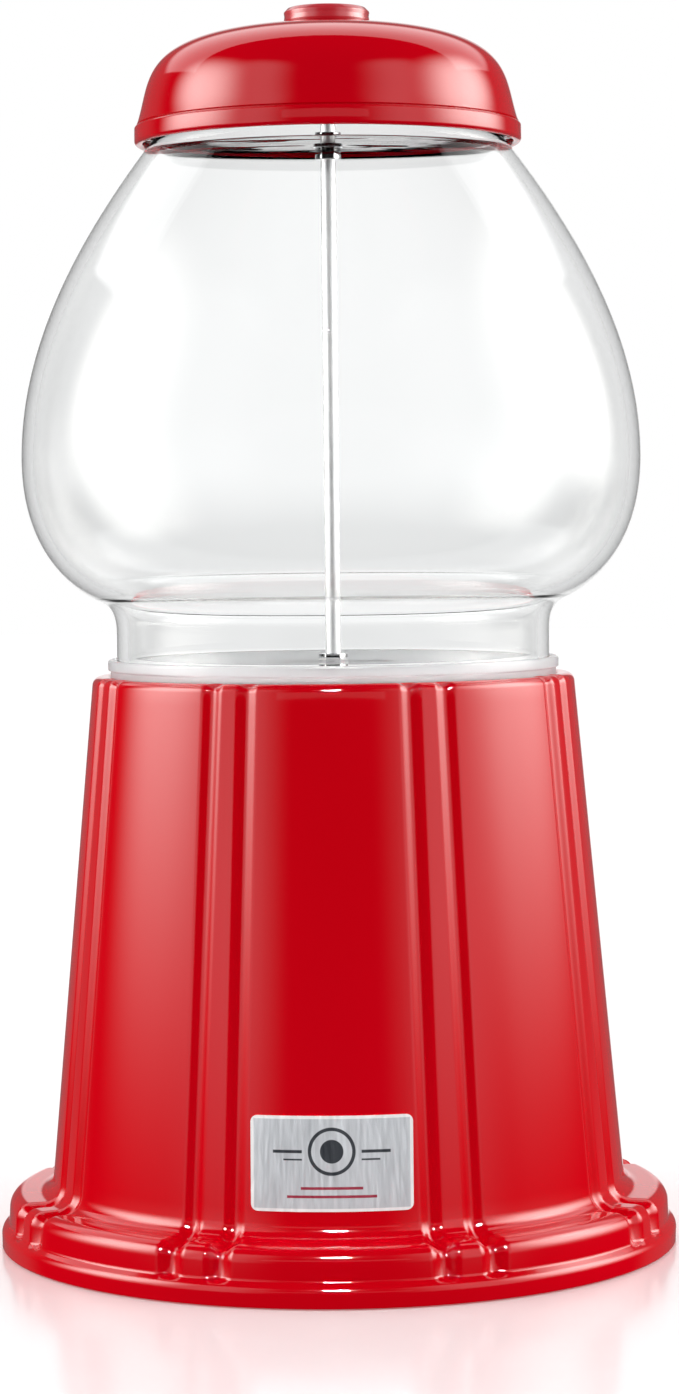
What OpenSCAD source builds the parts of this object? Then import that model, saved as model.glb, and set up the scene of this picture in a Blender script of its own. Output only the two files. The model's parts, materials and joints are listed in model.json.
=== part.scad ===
// Table-top candy dispenser with a glass globe, a coin-operated dispensing wheel
// and a fluted cast pedestal. The origin is at the centre of the base, on the
// surface that the feet stand on. +Z is up and the coin side faces -Y.

/* [Overall] */
// Height to the top of the lid knob
total_h = 381; // [379:1:383]
// Radius of the bottom flange of the foot
foot_r = 105; // [104:0.5:106]

/* [Pedestal] */
// Height of the pedestal's top edge
pedestal_h = 176.4; // [176:0.1:177]
// Outer radius where the taper meets the top edge
pedestal_top_r = 74.5; // [74:0.1:75]
// Growth of the radius for each millimetre down the wall
pedestal_taper = 0.0923; // [0.09:0.001:0.095]
// Thickness of the cast wall
pedestal_wall = 3; // [2.5:0.1:3.5]
// Radius of one rounded groove of a flute
groove_r = 3; // [2.5:0.1:3.5]
// Angle from the panel centre to the first pair of grooves
flute_a = 23; // [22:0.5:24]
// Angle from the panel centre to the second pair of grooves
flute_b = 65.5; // [64:0.5:66]
// Angle from the middle of a pair to each of its grooves
groove_split = 4.3; // [4:0.1:4.6]

/* [Globe] */
// Greatest radius of the glass globe
globe_r = 95.5; // [95:0.1:96]
// Outer radius of the straight neck
neck_r = 67; // [66.8:0.1:67]
// Thickness of the glass
glass_t = 3.5; // [3:0.1:3.8]

/* [Lid] */
// Radius of the band round the lid's rim
lid_band_r = 59.6; // [59.4:0.1:60]
// Radius of the lid knob
knob_r = 13.2; // [12.5:0.1:14]

/* [Mechanism] */
// Radius of the coins that the carrier takes
coin_r = 12.2; // [12:0.1:12.4]
// Height of the coin shaft
shaft_z = 134; // [134:0.1:134.2]
// Radius of the coin shaft
shaft_r = 3; // [3:0.1:3.2]
// Teeth on the crown gear under the candy wheel
crown_teeth = 24; // [24:4:24]
// Teeth on the drive pinion
pinion_teeth = 6; // [6:1:6]
// Pockets in the candy wheel
pockets = 4; // [4:1:4]
// Radius of one pocket
pocket_r = 12.5; // [11:0.5:12.5]

/* [Hidden] */
$fn = 96;

RED = [0.78, 0.02, 0.07];
STEEL = [0.75, 0.76, 0.78];
DARK = [0.12, 0.12, 0.13];
WHITE = [0.93, 0.94, 0.95];

// Running clearance between a shaft and its bearing
run = 0.05;
// Fine overlap that keeps a cutting tool from ending flush with a face
eps = 0.01;

// Foot: height of its underside, of the flange, of the step
foot_z = 0.3;
flange_h = 7;
step_h = 17;
step_r = 102.7;

// Wall radius of the pedestal's outside at height z
function wall_r(z) = pedestal_top_r + pedestal_taper * (pedestal_h - z);
function polar(r, a) = [r * cos(a), r * sin(a)];
function arc(c, r, a0, a1, n) = [for (i = [0:n]) c + polar(r, a0 + (a1 - a0) * i / n)];
function bezier_point(p, t) = p[0] * pow(1 - t, 3) + p[1] * 3 * t * pow(1 - t, 2)
    + p[2] * 3 * t * t * (1 - t) + p[3] * pow(t, 3);
function bezier(p, n) = [for (i = [0:n]) bezier_point(p, i / n)];
function reversed(points) = [for (i = [len(points) - 1:-1:0]) points[i]];

taper_angle = atan(pedestal_taper);
flute_angles = [for (side = [0, 180], sign = [-1, 1], a = [flute_a, flute_b])
    side + 90 + sign * a];
groove_angles = [for (a = flute_angles, s = [-1, 1]) a + s * groove_split];
groove_proud = 1;

// Base plate and coin bank plug
plate_r = 94;
plate_z = 3.4;
plate_t = 1.6;
ledge_z = plate_z + plate_t;
plug_pos = [-40, 30];
plug_r = 16;
base_screw_r = 90;
base_screw_angles = [0:90:270];
foot_pad_r = 8;
foot_pad_pos_r = 80;

// Hopper and wheel
shelf_z = 171;
shelf_t = 4;
shelf_r = 62.6;
mouth_r = 69.3;
seat_z = 174.5;
rim_z = 181.5;
rim_r = 69.8;
floor_z = 145;
floor_t = 3;
floor_r = 59;
bowl_r = 56.2;
wheel_r = bowl_r - 0.7;
wheel_z = floor_z + floor_t + 0.4;
wheel_t = 12.6;
pocket_pos_r = 41;
hub_r = 9;
drop_r = 12;
drop_angle = -64;
drop_pos = polar(pocket_pos_r, drop_angle);

// Centre rod
rod_r = 2.4;
rod_bore_r = 2.9;
cone_top_z = 178;

// Crown gear under the wheel and the pinion's bars
crown_r = 22;
gear_disc_z = 141.6;
gear_disc_t = 3;
crown_tip_z = 138.2;
pinion_len = 5;
clip_z = 0.8;

// Coin mechanism, measured from the front faces
boss_y = -82.5;
boss_w = 66;
boss_z0 = 90;
boss_z1 = 170;
plate_w = 62;
face_z0 = 96;
face_z1 = 166;
face_t = 2.6;
housing_r = 30.4;
housing_in_r = 28.6;
housing_y0 = boss_y + 0.3;
housing_y1 = -64;
screw_x = 26.5;
screw_dz = 30.5;
face_mid_z = (face_z0 + face_z1) / 2;
carrier_r = 27.9;
carrier_y = -77.6;
carrier_t = 4.4;
slot_y = -81;
slot_t = 2.6;
ratchet_teeth = 12;
ratchet_tip = 14;
ratchet_root = 11.5;
pawl_pivot = polar(18, 137);

// Chute
hood_y = -92;
hood_w = 57;
bezel_w = 51;
hood_z1 = 66;
mouth_w = 38;
mouth_z0 = 26;
mouth_z1 = 56;
bezel_y = -95.5;
flap_z = 58.6;
flap_y = -97.2;
flap_pin_r = 1.25;
chute_wall = 2;
chute_top_z = 85;

// Globe outline
globe_mid_z = 243;
globe_bottom_z = 176.6;
globe_top_z = 340.5;
globe_top_r = 55.5;

// Lid
band_z0 = 339.3;
band_z1 = 345;
dome_z = 375.5;
lid_t = 2;
liner_z = 341;
nut_z = 334;

module at_shaft(y) { translate([0, y, shaft_z]) rotate([90, 0, 0]) children(); }

// The four corners of the face plate, pointing along -Y from depth y
module face_screws(y) {
    for (x = [-1, 1], z = [-1, 1]) {
        translate([x * screw_x, y, face_mid_z + z * screw_dz]) rotate([90, 0, 0]) children();
    }
}

// Cylinder along -Y from y0 (inner end) to y1 (outer end)
module y_rod(r, y0, y1) { translate([0, y0, 0]) rotate([90, 0, 0]) cylinder(r = r, h = y0 - y1); }

module ring(r_out, r_in, h) {
    rotate_extrude() translate([r_in, 0]) square([r_out - r_in, h]);
}

module hex_nut(across, r_bore, h) {
    difference() {
        cylinder(r = across / sqrt(3), h = h, $fn = 6);
        translate([0, 0, -1]) cylinder(r = r_bore, h = h + 2);
    }
}

// Pan-head screw along +Z, head on top, with a cross recess
module pan_screw(head_r, head_h, shank_r, shank_len) {
    difference() {
        union() {
            cylinder(r = head_r, h = head_h);
            translate([0, 0, -shank_len]) cylinder(r = shank_r, h = shank_len + eps);
        }
        for (a = [0, 90]) {
            rotate(a) translate([-head_r * 0.6, -0.35, head_h - 0.8]) cube([head_r * 1.2, 0.7, 1]);
        }
    }
}

module rounded_plate(w, h, r, t) {
    linear_extrude(t) union() {
        translate([-w / 2 + r, -h / 2]) square([w - 2 * r, h]);
        translate([-w / 2, -h / 2 + r]) square([w, h - 2 * r]);
        for (x = [-1, 1], y = [-1, 1]) {
            translate([x * (w / 2 - r), y * (h / 2 - r)]) circle(r = r);
        }
    }
}

// ---------------------------------------------------------------- pedestal
// The casting is four solids that meet face to face: the fluted wall with its shelf,
// the stepped foot, and the two pads of the coin side
module pedestal_wall_profile() {
    top_round = 3.5;
    fillet = 4;
    reach = 1 / cos(taper_angle);
    fillet_z = step_h + fillet;
    round_z = pedestal_h - top_round;
    rotate_extrude() polygon(concat(
        [[wall_r(step_h) - pedestal_wall - 0.4, step_h]],
        arc([wall_r(fillet_z) + fillet * reach, fillet_z], fillet, 270, 180 + taper_angle, 4),
        arc([wall_r(round_z) - top_round * reach, round_z], top_round, taper_angle, 90, 4),
        [[mouth_r, pedestal_h], [mouth_r, shelf_z], [shelf_r, shelf_z],
        [shelf_r, shelf_z - shelf_t], [wall_r(shelf_z) - pedestal_wall - 3, shelf_z - shelf_t],
        [wall_r(shelf_z) - pedestal_wall, shelf_z - shelf_t - 4]]));
}

module foot_profile() {
    flange_round = 3;
    step_round = 3.5;
    inner_r = base_screw_r - 6;
    rotate_extrude() polygon(concat(
        [[plate_r + 0.4, foot_z], [foot_r - 1, foot_z], [foot_r, foot_z + 1]],
        arc([foot_r - flange_round, flange_h - flange_round], flange_round, 0, 80, 4),
        [[step_r, flange_h + 0.6]],
        arc([step_r - step_round, step_h - step_round], step_round, 0, 90, 4),
        [[inner_r, step_h], [inner_r, ledge_z], [plate_r + 0.4, ledge_z]]));
}

// One rounded groove down the wall and its fillet
module wall_groove(a) {
    rotate([0, 0, a]) translate([wall_r(step_h) + groove_proud, 0, step_h])
        rotate([0, -taper_angle, 0]) translate([0, 0, -1])
        cylinder(r = groove_r, h = pedestal_h, $fn = 24);
}

// The same groove over the step and down its side
module foot_groove(a) {
    rotate([0, 0, a]) translate([step_r + groove_proud, 0, flange_h + 1])
        cylinder(r = groove_r, h = step_h, $fn = 24);
}

// Blocks that the pads fill; the wall is open there
module coin_pad_block() {
    translate([-boss_w / 2, boss_y, boss_z0]) cube([boss_w, 30, boss_z1 - boss_z0]);
}

module chute_hood_block(proud = 0) {
    translate([-hood_w / 2, hood_y - proud, step_h]) cube([hood_w, 30 + proud, hood_z1 - step_h]);
}

// Space inside the wall, which the pads don't enter
module inner_cone() {
    translate([0, 0, -1])
        cylinder(r1 = wall_r(-1) - pedestal_wall, r2 = wall_r(199) - pedestal_wall, h = 200);
}

// Slot in the top of the pad: a coin dropped in it lands in the carrier's pocket
module coin_slot() {
    translate([-coin_r - 0.8, slot_y, shaft_z + 20]) cube([2 * coin_r + 1.6, slot_t, 40]);
}

module pedestal() {
    color(RED) difference() {
        pedestal_wall_profile();
        for (a = groove_angles) wall_groove(a);
        coin_pad_block();
        chute_hood_block(proud = 2);
        for (a = [30, 150, 270]) {
            rotate([0, 0, a]) translate([65.9, 0, shelf_z - 10]) cylinder(r = 1.5, h = 20);
        }
    }
}

module pedestal_foot() {
    color(RED) difference() {
        foot_profile();
        for (a = groove_angles) foot_groove(a);
        for (a = base_screw_angles) {
            rotate([0, 0, a]) translate([base_screw_r, 0, 0]) cylinder(r = 1.6, h = 12);
        }
    }
}

module coin_pad() {
    color(RED) difference() {
        coin_pad_block();
        inner_cone();
        at_shaft(-50) cylinder(r = housing_r + 0.1, h = 50);
        coin_slot();
        face_screws(-60) cylinder(r = 1.6, h = 40);
    }
}

// Frame round the chute's mouth, open wider behind its front for the chute's slope
module chute_hood() {
    frame_t = 7.5;
    gap = 0.4;
    side = mouth_w / 2 + 2 + gap;
    color(RED) difference() {
        chute_hood_block();
        inner_cone();
        translate([-side, -110, mouth_z0 - 2 - gap])
            cube([2 * side, 50, mouth_z1 - mouth_z0 + 4 + 2 * gap]);
        translate([-side - 1.8, hood_y + frame_t, mouth_z0 - 2 - gap])
            cube([2 * side + 3.6, 30, hood_z1 - mouth_z0]);
        for (x = [-1, 1]) {
            translate([x * 23.5, -80, 41]) rotate([90, 0, 0]) cylinder(r = 1.3, h = 30);
        }
    }
}

// Foil label, wrapped round the taper of the rear panel
module rear_label() {
    label_w = 47;
    label_z0 = 25.1;
    label_z1 = 52.5;
    foil = 0.3;
    color(STEEL) intersection() {
        rotate_extrude() polygon([[wall_r(10) + eps, 10], [wall_r(10) + foil, 10],
            [wall_r(70) + foil, 70], [wall_r(70) + eps, 70]]);
        translate([0, 110, (label_z0 + label_z1) / 2]) rotate([90, 0, 0])
            rounded_plate(label_w, label_z1 - label_z0, 2, 50);
    }
}

// ---------------------------------------------------------------- base
module base_plate() {
    color(STEEL) difference() {
        translate([0, 0, plate_z]) cylinder(r = plate_r, h = plate_t);
        cylinder(r = rod_r + run, h = 10);
        translate([plug_pos[0], plug_pos[1], 0]) cylinder(r = plug_r, h = 10);
        for (a = base_screw_angles) {
            rotate([0, 0, a]) translate([base_screw_r, 0, 0]) cylinder(r = 1.8, h = 10);
        }
        for (a = [45:90:315]) {
            rotate([0, 0, a]) translate([foot_pad_pos_r, 0, 0]) cylinder(r = 2.2, h = 10);
        }
    }
}

module base_screws() {
    color(STEEL) for (a = base_screw_angles) {
        rotate([0, 0, a]) translate([base_screw_r, 0, plate_z]) mirror([0, 0, 1])
            pan_screw(3, 1.6, 1.5, 7);
    }
}

module rubber_feet() {
    stem_top = plate_z + plate_t;
    color(DARK) for (a = [45:90:315]) {
        rotate([0, 0, a]) translate([foot_pad_pos_r, 0, 0]) rotate_extrude() polygon([
            [0, 0], [foot_pad_r - 1.6, 0], [foot_pad_r - 0.6, 0.8], [foot_pad_r, plate_z],
            [2.2, plate_z], [2.2, stem_top], [3.2, stem_top], [2.4, stem_top + 2], [0, stem_top + 2]]);
    }
}

// Quarter-turn plug that empties the coin bank
module bank_plug() {
    color(DARK) translate([plug_pos[0], plug_pos[1], 0]) difference() {
        union() {
            translate([0, 0, 1.4]) cylinder(r = plug_r + 3, h = plate_z - 1.4 - 0.1);
            translate([0, 0, 3]) cylinder(r = plug_r - run, h = 4);
            translate([-plug_r - 3, -4, ledge_z + 0.3]) cube([2 * plug_r + 6, 8, 1.7]);
        }
        translate([-11, -1.2, 0]) cube([22, 2.4, 2.6]);
    }
}

// ---------------------------------------------------------------- centre rod
module centre_rod() {
    color(STEEL) translate([0, 0, 1.2]) cylinder(r = rod_r, h = 372 - 1.2);
}

module rod_base_washer() {
    color(STEEL) translate([0, 0, ledge_z]) ring(8, rod_r, 1.2);
}

module rod_base_nut() {
    color(STEEL) translate([0, 0, ledge_z + 1.2]) hex_nut(8, rod_r, 4);
}

module rod_hub_washer() {
    color(DARK) translate([0, 0, cone_top_z + 0.5]) ring(6.5, rod_r, 1);
}

module rod_hub_nut() {
    color(STEEL) translate([0, 0, cone_top_z + 1.5]) hex_nut(8, rod_r, 3.2);
}

module rod_top_washer() {
    color(STEEL) translate([0, 0, nut_z + 3.8]) ring(4.6, rod_r, 0.9);
}

module rod_top_nut() {
    color(STEEL) translate([0, 0, nut_z]) hex_nut(7, rod_r, 3.8);
}

// ---------------------------------------------------------------- hopper and wheel
module hopper() {
    color(WHITE) difference() {
        rotate_extrude() polygon([
            [bowl_r, floor_z + floor_t], [floor_r, floor_z + floor_t], [floor_r, 160],
            [61.9, shelf_z - shelf_t], [61.9, shelf_z],
            [mouth_r - 0.3, shelf_z], [mouth_r - 0.3, 178], [rim_r, 178.4], [rim_r, rim_z - 0.6],
            [rim_r - 0.6, rim_z], [neck_r + 0.9, rim_z], [neck_r + 0.5, rim_z - 0.4],
            [neck_r + 0.5, seat_z], [61, seat_z], [bowl_r, 164]]);
        for (a = [30, 150, 270]) {
            rotate([0, 0, a]) translate([65.9, 0, shelf_z - 1]) cylinder(r = 1.7, h = 10);
            rotate([0, 0, a]) translate([65.9, 0, seat_z - 1.6]) cylinder(r = 1.6 + 1.3, h = 5);
        }
    }
}

// Floor under the wheel, with the drop hole
module hopper_floor() {
    color(WHITE) difference() {
        translate([0, 0, floor_z]) ring(floor_r, hub_r, floor_t);
        translate([drop_pos[0], drop_pos[1], floor_z - 1]) cylinder(r = drop_r, h = floor_t + 2);
    }
}

module hopper_screws() {
    color(STEEL) for (a = [30, 150, 270]) {
        rotate([0, 0, a]) translate([65.9, 0, seat_z - 1.6]) pan_screw(2.7, 1.4, 1.45, 7);
    }
}

// Fixed shelf over the drop hole, so that only the pocket's own load falls
module drop_guard() {
    half = 24;
    z0 = wheel_z + wheel_t + 0.5;
    color(WHITE) translate([0, 0, z0]) rotate([0, 0, drop_angle - half]) {
        rotate_extrude(angle = 2 * half) translate([21, 0]) square([bowl_r - 20.9, 1.4]);
    }
}

module globe_gasket() {
    color(WHITE) translate([0, 0, seat_z]) ring(neck_r, neck_r - glass_t - 0.6, globe_bottom_z - seat_z);
}

module candy_wheel() {
    color([0.95, 0.95, 0.93]) difference() {
        rotate_extrude() polygon([
            [rod_bore_r, gear_disc_z + gear_disc_t], [hub_r - run, gear_disc_z + gear_disc_t],
            [hub_r - run, wheel_z], [wheel_r, wheel_z], [wheel_r, wheel_z + wheel_t - 1],
            [wheel_r - 1, wheel_z + wheel_t], [17, wheel_z + wheel_t], [13, wheel_z + wheel_t + 3],
            [7.5, cone_top_z - 1], [6.5, cone_top_z], [rod_bore_r, cone_top_z]]);
        for (i = [0:pockets - 1]) {
            rotate([0, 0, drop_angle + i * 360 / pockets]) translate([pocket_pos_r, 0, wheel_z - 1])
                cylinder(r = pocket_r, h = wheel_t + 2);
        }
        for (a = [0, 180]) {
            rotate([0, 0, a]) translate([6, 0, gear_disc_z]) cylinder(r = 1, h = 10);
        }
    }
}

// Crown gear: wedge teeth point down round a disc, with a gap facing the pinion
module wheel_gear() {
    half = 2;
    tooth_in = crown_r - 3;
    tooth_out = crown_r + 3;
    pitch = 360 / crown_teeth;
    color(STEEL) difference() {
        union() {
            translate([0, 0, gear_disc_z]) ring(tooth_out, rod_bore_r, gear_disc_t);
            translate([0, 0, crown_tip_z]) linear_extrude(gear_disc_z - crown_tip_z + eps) {
                for (i = [0:crown_teeth - 1]) {
                    rotate(-90 + pitch * (i + 0.5)) polygon([polar(tooth_in, -half),
                        polar(tooth_out, -half), polar(tooth_out, half), polar(tooth_in, half)]);
                }
            }
        }
        for (a = [0, 180]) {
            rotate([0, 0, a]) translate([6, 0, gear_disc_z - 1]) cylinder(r = 1.2, h = 10);
        }
    }
}

module gear_screws() {
    color(STEEL) for (a = [0, 180]) {
        rotate([0, 0, a]) translate([6, 0, gear_disc_z]) mirror([0, 0, 1]) pan_screw(2.2, 1.3, 0.95, 8);
    }
}

// ---------------------------------------------------------------- chute
module chute_space(grow) {
    hull() {
        translate([drop_pos[0], drop_pos[1], chute_top_z - 1])
            cylinder(r = drop_r + grow, h = 1, $fn = 32);
        translate([-mouth_w / 2 - grow, -84, mouth_z0 - grow])
            cube([mouth_w + 2 * grow, 1, mouth_z1 - mouth_z0 + 2 * grow]);
    }
}

// Tube from the drop hole down to the chute
module drop_tube() {
    color(WHITE) translate([drop_pos[0], drop_pos[1], chute_top_z])
        ring(drop_r + chute_wall, drop_r, floor_z - 0.2 - chute_top_z);
}

module candy_chute() {
    color(WHITE) difference() {
        union() {
            chute_space(chute_wall);
            translate([-mouth_w / 2 - chute_wall, -91, mouth_z0 - chute_wall])
                cube([mouth_w + 2 * chute_wall, 7.5, mouth_z1 - mouth_z0 + 2 * chute_wall]);
        }
        translate([drop_pos[0], drop_pos[1], chute_top_z - 0.8]) cylinder(r = drop_r, h = 70);
        chute_space(0);
        translate([-mouth_w / 2, -95, mouth_z0]) cube([mouth_w, 11.5, mouth_z1 - mouth_z0]);
    }
}

module chute_bezel() {
    ear_w = 3;
    color(STEEL) difference() {
        union() {
            translate([-bezel_w / 2, bezel_y, step_h + 3])
                cube([bezel_w, hood_y - bezel_y, hood_z1 - step_h - 4]);
            for (x = [-1, 1]) {
                translate([x * (mouth_w / 2 + 3.5) - ear_w / 2, flap_y - 2.6, flap_z - 2.6])
                    cube([ear_w, bezel_y - flap_y + 3, 5.2]);
            }
        }
        translate([-mouth_w / 2, -120, mouth_z0]) cube([mouth_w, 50, mouth_z1 - mouth_z0]);
        translate([40, flap_y, flap_z]) rotate([0, -90, 0]) cylinder(r = flap_pin_r, h = 80);
        translate([mouth_w / 2 + 2, flap_y, flap_z]) rotate([0, -90, 0]) cylinder(r = 2.8, h = mouth_w + 4);
        for (x = [-1, 1]) {
            translate([x * 23.5, -80, 41]) rotate([90, 0, 0]) cylinder(r = 1.5, h = 30);
        }
    }
}

module bezel_screws() {
    color(STEEL) for (x = [-1, 1]) {
        translate([x * 23.5, bezel_y, 41]) rotate([90, 0, 0]) pan_screw(1.9, 1.2, 1.25, 8);
    }
}

module flap_pin() {
    half = mouth_w / 2 + 6.4;
    color(STEEL) translate([-half, flap_y, flap_z]) rotate([0, 90, 0]) cylinder(r = flap_pin_r, h = 2 * half);
}

// Hinged flap with a curled lip for a finger
module chute_flap() {
    w = mouth_w + 3;
    t = 1.4;
    lip = 4.5;
    bottom_z = mouth_z0 - 3;
    face_y = bezel_y - 0.5;
    color(STEEL) difference() {
        union() {
            translate([-w / 2, face_y - t, bottom_z]) cube([w, t, flap_z - bottom_z]);
            translate([-w / 2, flap_y, flap_z]) rotate([0, 90, 0]) cylinder(r = 2.3, h = w);
            translate([-w / 2, face_y - t - lip, bottom_z]) cube([w, lip + 0.5, t]);
            translate([-w / 2, face_y - t - lip, bottom_z]) cube([w, 1.2, lip]);
        }
        translate([-w, flap_y, flap_z]) rotate([0, 90, 0]) cylinder(r = flap_pin_r + run, h = 2 * w);
    }
}

// ---------------------------------------------------------------- coin mechanism
module coin_face_plate() {
    color(STEEL) difference() {
        union() {
            translate([0, boss_y, face_mid_z]) rotate([90, 0, 0])
                rounded_plate(plate_w, face_z1 - face_z0, 6, face_t);
            at_shaft(boss_y - face_t + eps) cylinder(r = 9, h = 1.6);
            at_shaft(boss_y - face_t + eps) ring(27, 24.6, 1);
        }
        at_shaft(-70) cylinder(r = shaft_r + run, h = 30);
        face_screws(-60) cylinder(r = 1.8, h = 40);
    }
}

module face_plate_screws() {
    color(STEEL) face_screws(boss_y - face_t) pan_screw(3, 1.7, 1.55, 10);
}

module coin_housing() {
    back_t = 2.5;
    color([0.6, 0.61, 0.63]) difference() {
        union() {
            at_shaft(housing_y1) cylinder(r = housing_r, h = housing_y1 - housing_y0);
            at_shaft(housing_y1 + 4) cylinder(r = 6.5, h = 4.5);
        }
        at_shaft(housing_y1 - back_t) cylinder(r = housing_in_r, h = 40);
        at_shaft(-50) cylinder(r = shaft_r + run, h = 60);
        translate([pawl_pivot[0], -60, shaft_z + pawl_pivot[1]]) rotate([90, 0, 0]) cylinder(r = 1.2, h = 10);
        translate([-coin_r - 0.8, housing_y0 - 1, shaft_z - 40]) cube([2 * coin_r + 1.6, 10, 30]);
        coin_slot();
    }
}

module handle_shaft() {
    color(STEEL) translate([0, 0, shaft_z]) y_rod(shaft_r, -18.5, -101);
}

// Handle: round hub with two tapered wings
module coin_handle() {
    y0 = boss_y - face_t - 2.4;
    depth = 9;
    color(STEEL) difference() {
        union() {
            at_shaft(y0) cylinder(r = 8, h = depth + 1.5);
            at_shaft(y0 - 2) for (s = [0, 180]) {
                rotate(s) linear_extrude(depth - 2) union() {
                    polygon([[0, -7.5], [20, -4.6], [20, 4.6], [0, 7.5]]);
                    translate([20, 0]) circle(r = 4.6);
                }
            }
        }
        at_shaft(-70) cylinder(r = shaft_r, h = 50);
    }
}

module handle_nut() {
    y0 = boss_y - face_t - 2.4 - 10.5;
    color(STEEL) at_shaft(y0) difference() {
        union() {
            cylinder(r = 5.2, h = 3.4, $fn = 6);
            translate([0, 0, 3.3]) cylinder(r1 = 4.3, r2 = 2.6, h = 2.6);
        }
        translate([0, 0, -1]) cylinder(r = shaft_r, h = 4.2);
    }
}

// Disc with a pocket that carries one coin past the housing's floor
module coin_carrier() {
    color([0.7, 0.66, 0.5]) difference() {
        at_shaft(carrier_y) cylinder(r = carrier_r, h = carrier_t);
        at_shaft(carrier_y + 5) cylinder(r = shaft_r, h = 20);
        at_shaft(carrier_y + 1) linear_extrude(10) union() {
            translate([0, carrier_r - coin_r]) circle(r = coin_r + 0.2);
            translate([-coin_r - 0.2, carrier_r - coin_r]) square([2 * coin_r + 0.4, 30]);
        }
    }
}

// Saw teeth stop the handle from turning back: the radius grows along each
// tooth and drops where the next one starts
module ratchet_wheel() {
    pitch = 360 / ratchet_teeth;
    color(STEEL) difference() {
        at_shaft(-71.4) linear_extrude(2.6) polygon([for (i = [0:ratchet_teeth - 1], e = [0, 1])
            e == 0 ? polar(ratchet_root, i * pitch) : polar(ratchet_tip, (i + 1) * pitch - 0.01)]);
        at_shaft(-60) cylinder(r = shaft_r, h = 20);
    }
}

// Pinion teeth are tapered bars; one stands straight up in a gap of the crown
module drive_pinion() {
    root_r = 3.8;
    root_half = 1;
    tip_r = 6.9;
    tip_half = 0.45;
    color(STEEL) at_shaft(-(crown_r - pinion_len / 2)) difference() {
        union() {
            cylinder(r = root_r, h = pinion_len);
            for (i = [0:pinion_teeth - 1]) {
                rotate(90 + i * 360 / pinion_teeth) linear_extrude(pinion_len)
                    polygon([[2, -root_half], [root_r + 0.3, -root_half], [tip_r, -tip_half],
                        [tip_r, tip_half], [root_r + 0.3, root_half], [2, root_half]]);
            }
        }
        translate([0, 0, -1]) cylinder(r = shaft_r, h = pinion_len + 2);
    }
}

module shaft_clip() {
    y0 = housing_y1 + 4 + 1.2;
    color(STEEL) at_shaft(y0) ring(5.4, shaft_r, clip_z);
}

// The pawl rides on a tooth's crest, turned up from the gap it would drop into
module pawl() {
    ride = 10;
    color(STEEL) at_shaft(-71.6) translate(pawl_pivot) rotate(ride) translate(-pawl_pivot) difference() {
        linear_extrude(2.2) union() {
            translate(pawl_pivot) circle(r = 2.6);
            polygon([polar(12.2, 92.2), polar(13.6, 92.2), polar(16, 98), polar(18.6, 112), polar(20.2, 133),
                polar(15.8, 133), polar(14.7, 115), polar(13.4, 103)]);
        }
        translate([pawl_pivot[0], pawl_pivot[1], -1]) cylinder(r = 1.2 + run, h = 6);
    }
}

module pawl_pin() {
    color(STEEL) translate([pawl_pivot[0], 0, shaft_z + pawl_pivot[1]]) y_rod(1.2, housing_y1, -74.6);
}

// Torsion spring on the pawl's pin, drawn as its closed turns
module pawl_spring() {
    wire_r = 0.3;
    turns = 3;
    turn_gap = 1.3;
    color(DARK) for (i = [0:turns - 1]) {
        translate([pawl_pivot[0], -67.1 - i * turn_gap, shaft_z + pawl_pivot[1]]) rotate([90, 0, 0])
            rotate_extrude() translate([1.9, 0]) circle(r = wire_r, $fn = 16);
    }
}

// ---------------------------------------------------------------- globe
function globe_outline() = concat(
    [[neck_r, globe_bottom_z + 1], [neck_r, 190]],
    bezier([[neck_r, 190], [neck_r, 196], [69, 198.4], [73, 200]], 5),
    bezier([[73, 200], [86.4, 206.9], [globe_r, 221.4], [globe_r, globe_mid_z]], 12),
    bezier([[globe_r, globe_mid_z], [globe_r, 279.5], [75.7, 312.5], [globe_top_r, globe_top_z - 1.5]], 16));

module glass_globe() {
    outer = globe_outline();
    count = len(outer);
    // The inner wall is the outline moved inwards by the glass thickness
    normals = [for (i = [0:count - 1])
        let (a = outer[max(i - 1, 0)], b = outer[min(i + 1, count - 1)], d = b - a)
        [d[1], -d[0]] / norm(d)];
    inner = [for (i = [0:count - 1]) outer[i] - normals[i] * glass_t];
    kept = [for (i = [0:count - 1]) if (i == 0 || norm(outer[i] - outer[i - 1]) > 0.01) i];
    color([0.9, 0.95, 0.97, 0.3]) rotate_extrude() polygon(concat(
        [[neck_r - 1, globe_bottom_z]], [for (i = kept) outer[i]],
        [[globe_top_r - 1.2, globe_top_z], [globe_top_r - glass_t + 0.6, globe_top_z]],
        reversed([for (i = kept) inner[i]]),
        [[neck_r - glass_t + 1, globe_bottom_z]]));
}

// ---------------------------------------------------------------- lid
function dome(r0, top) = bezier([[r0, band_z1], [r0 - 5.3, 361], [r0 + 1.2, top], [0, top]], 14);

module lid() {
    outer = dome(58.8, dome_z);
    inner = dome(58.8 - lid_t, dome_z - lid_t);
    last = len(outer) - 1;
    color(RED) difference() {
        rotate_extrude() polygon(concat(
            [[56.6, band_z0], [lid_band_r - 1, band_z0], [lid_band_r, band_z0 + 1],
            [lid_band_r, band_z1 - 1], [lid_band_r - 0.6, band_z1]],
            outer, [[0, dome_z - lid_t]],
            reversed([for (i = [0:last - 1]) inner[i]])));
        cylinder(r = rod_bore_r, h = 400);
    }
}

// Bright disc that closes the dome and rests over the globe's top edge
module lid_liner() {
    color(STEEL) translate([0, 0, liner_z]) ring(56.4, rod_bore_r, 1);
}

// Ring between the liner and the dome that keeps the disc flat
module lid_gasket() {
    color(WHITE) translate([0, 0, liner_z + 1]) ring(55.8, 51, 2);
}

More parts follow.
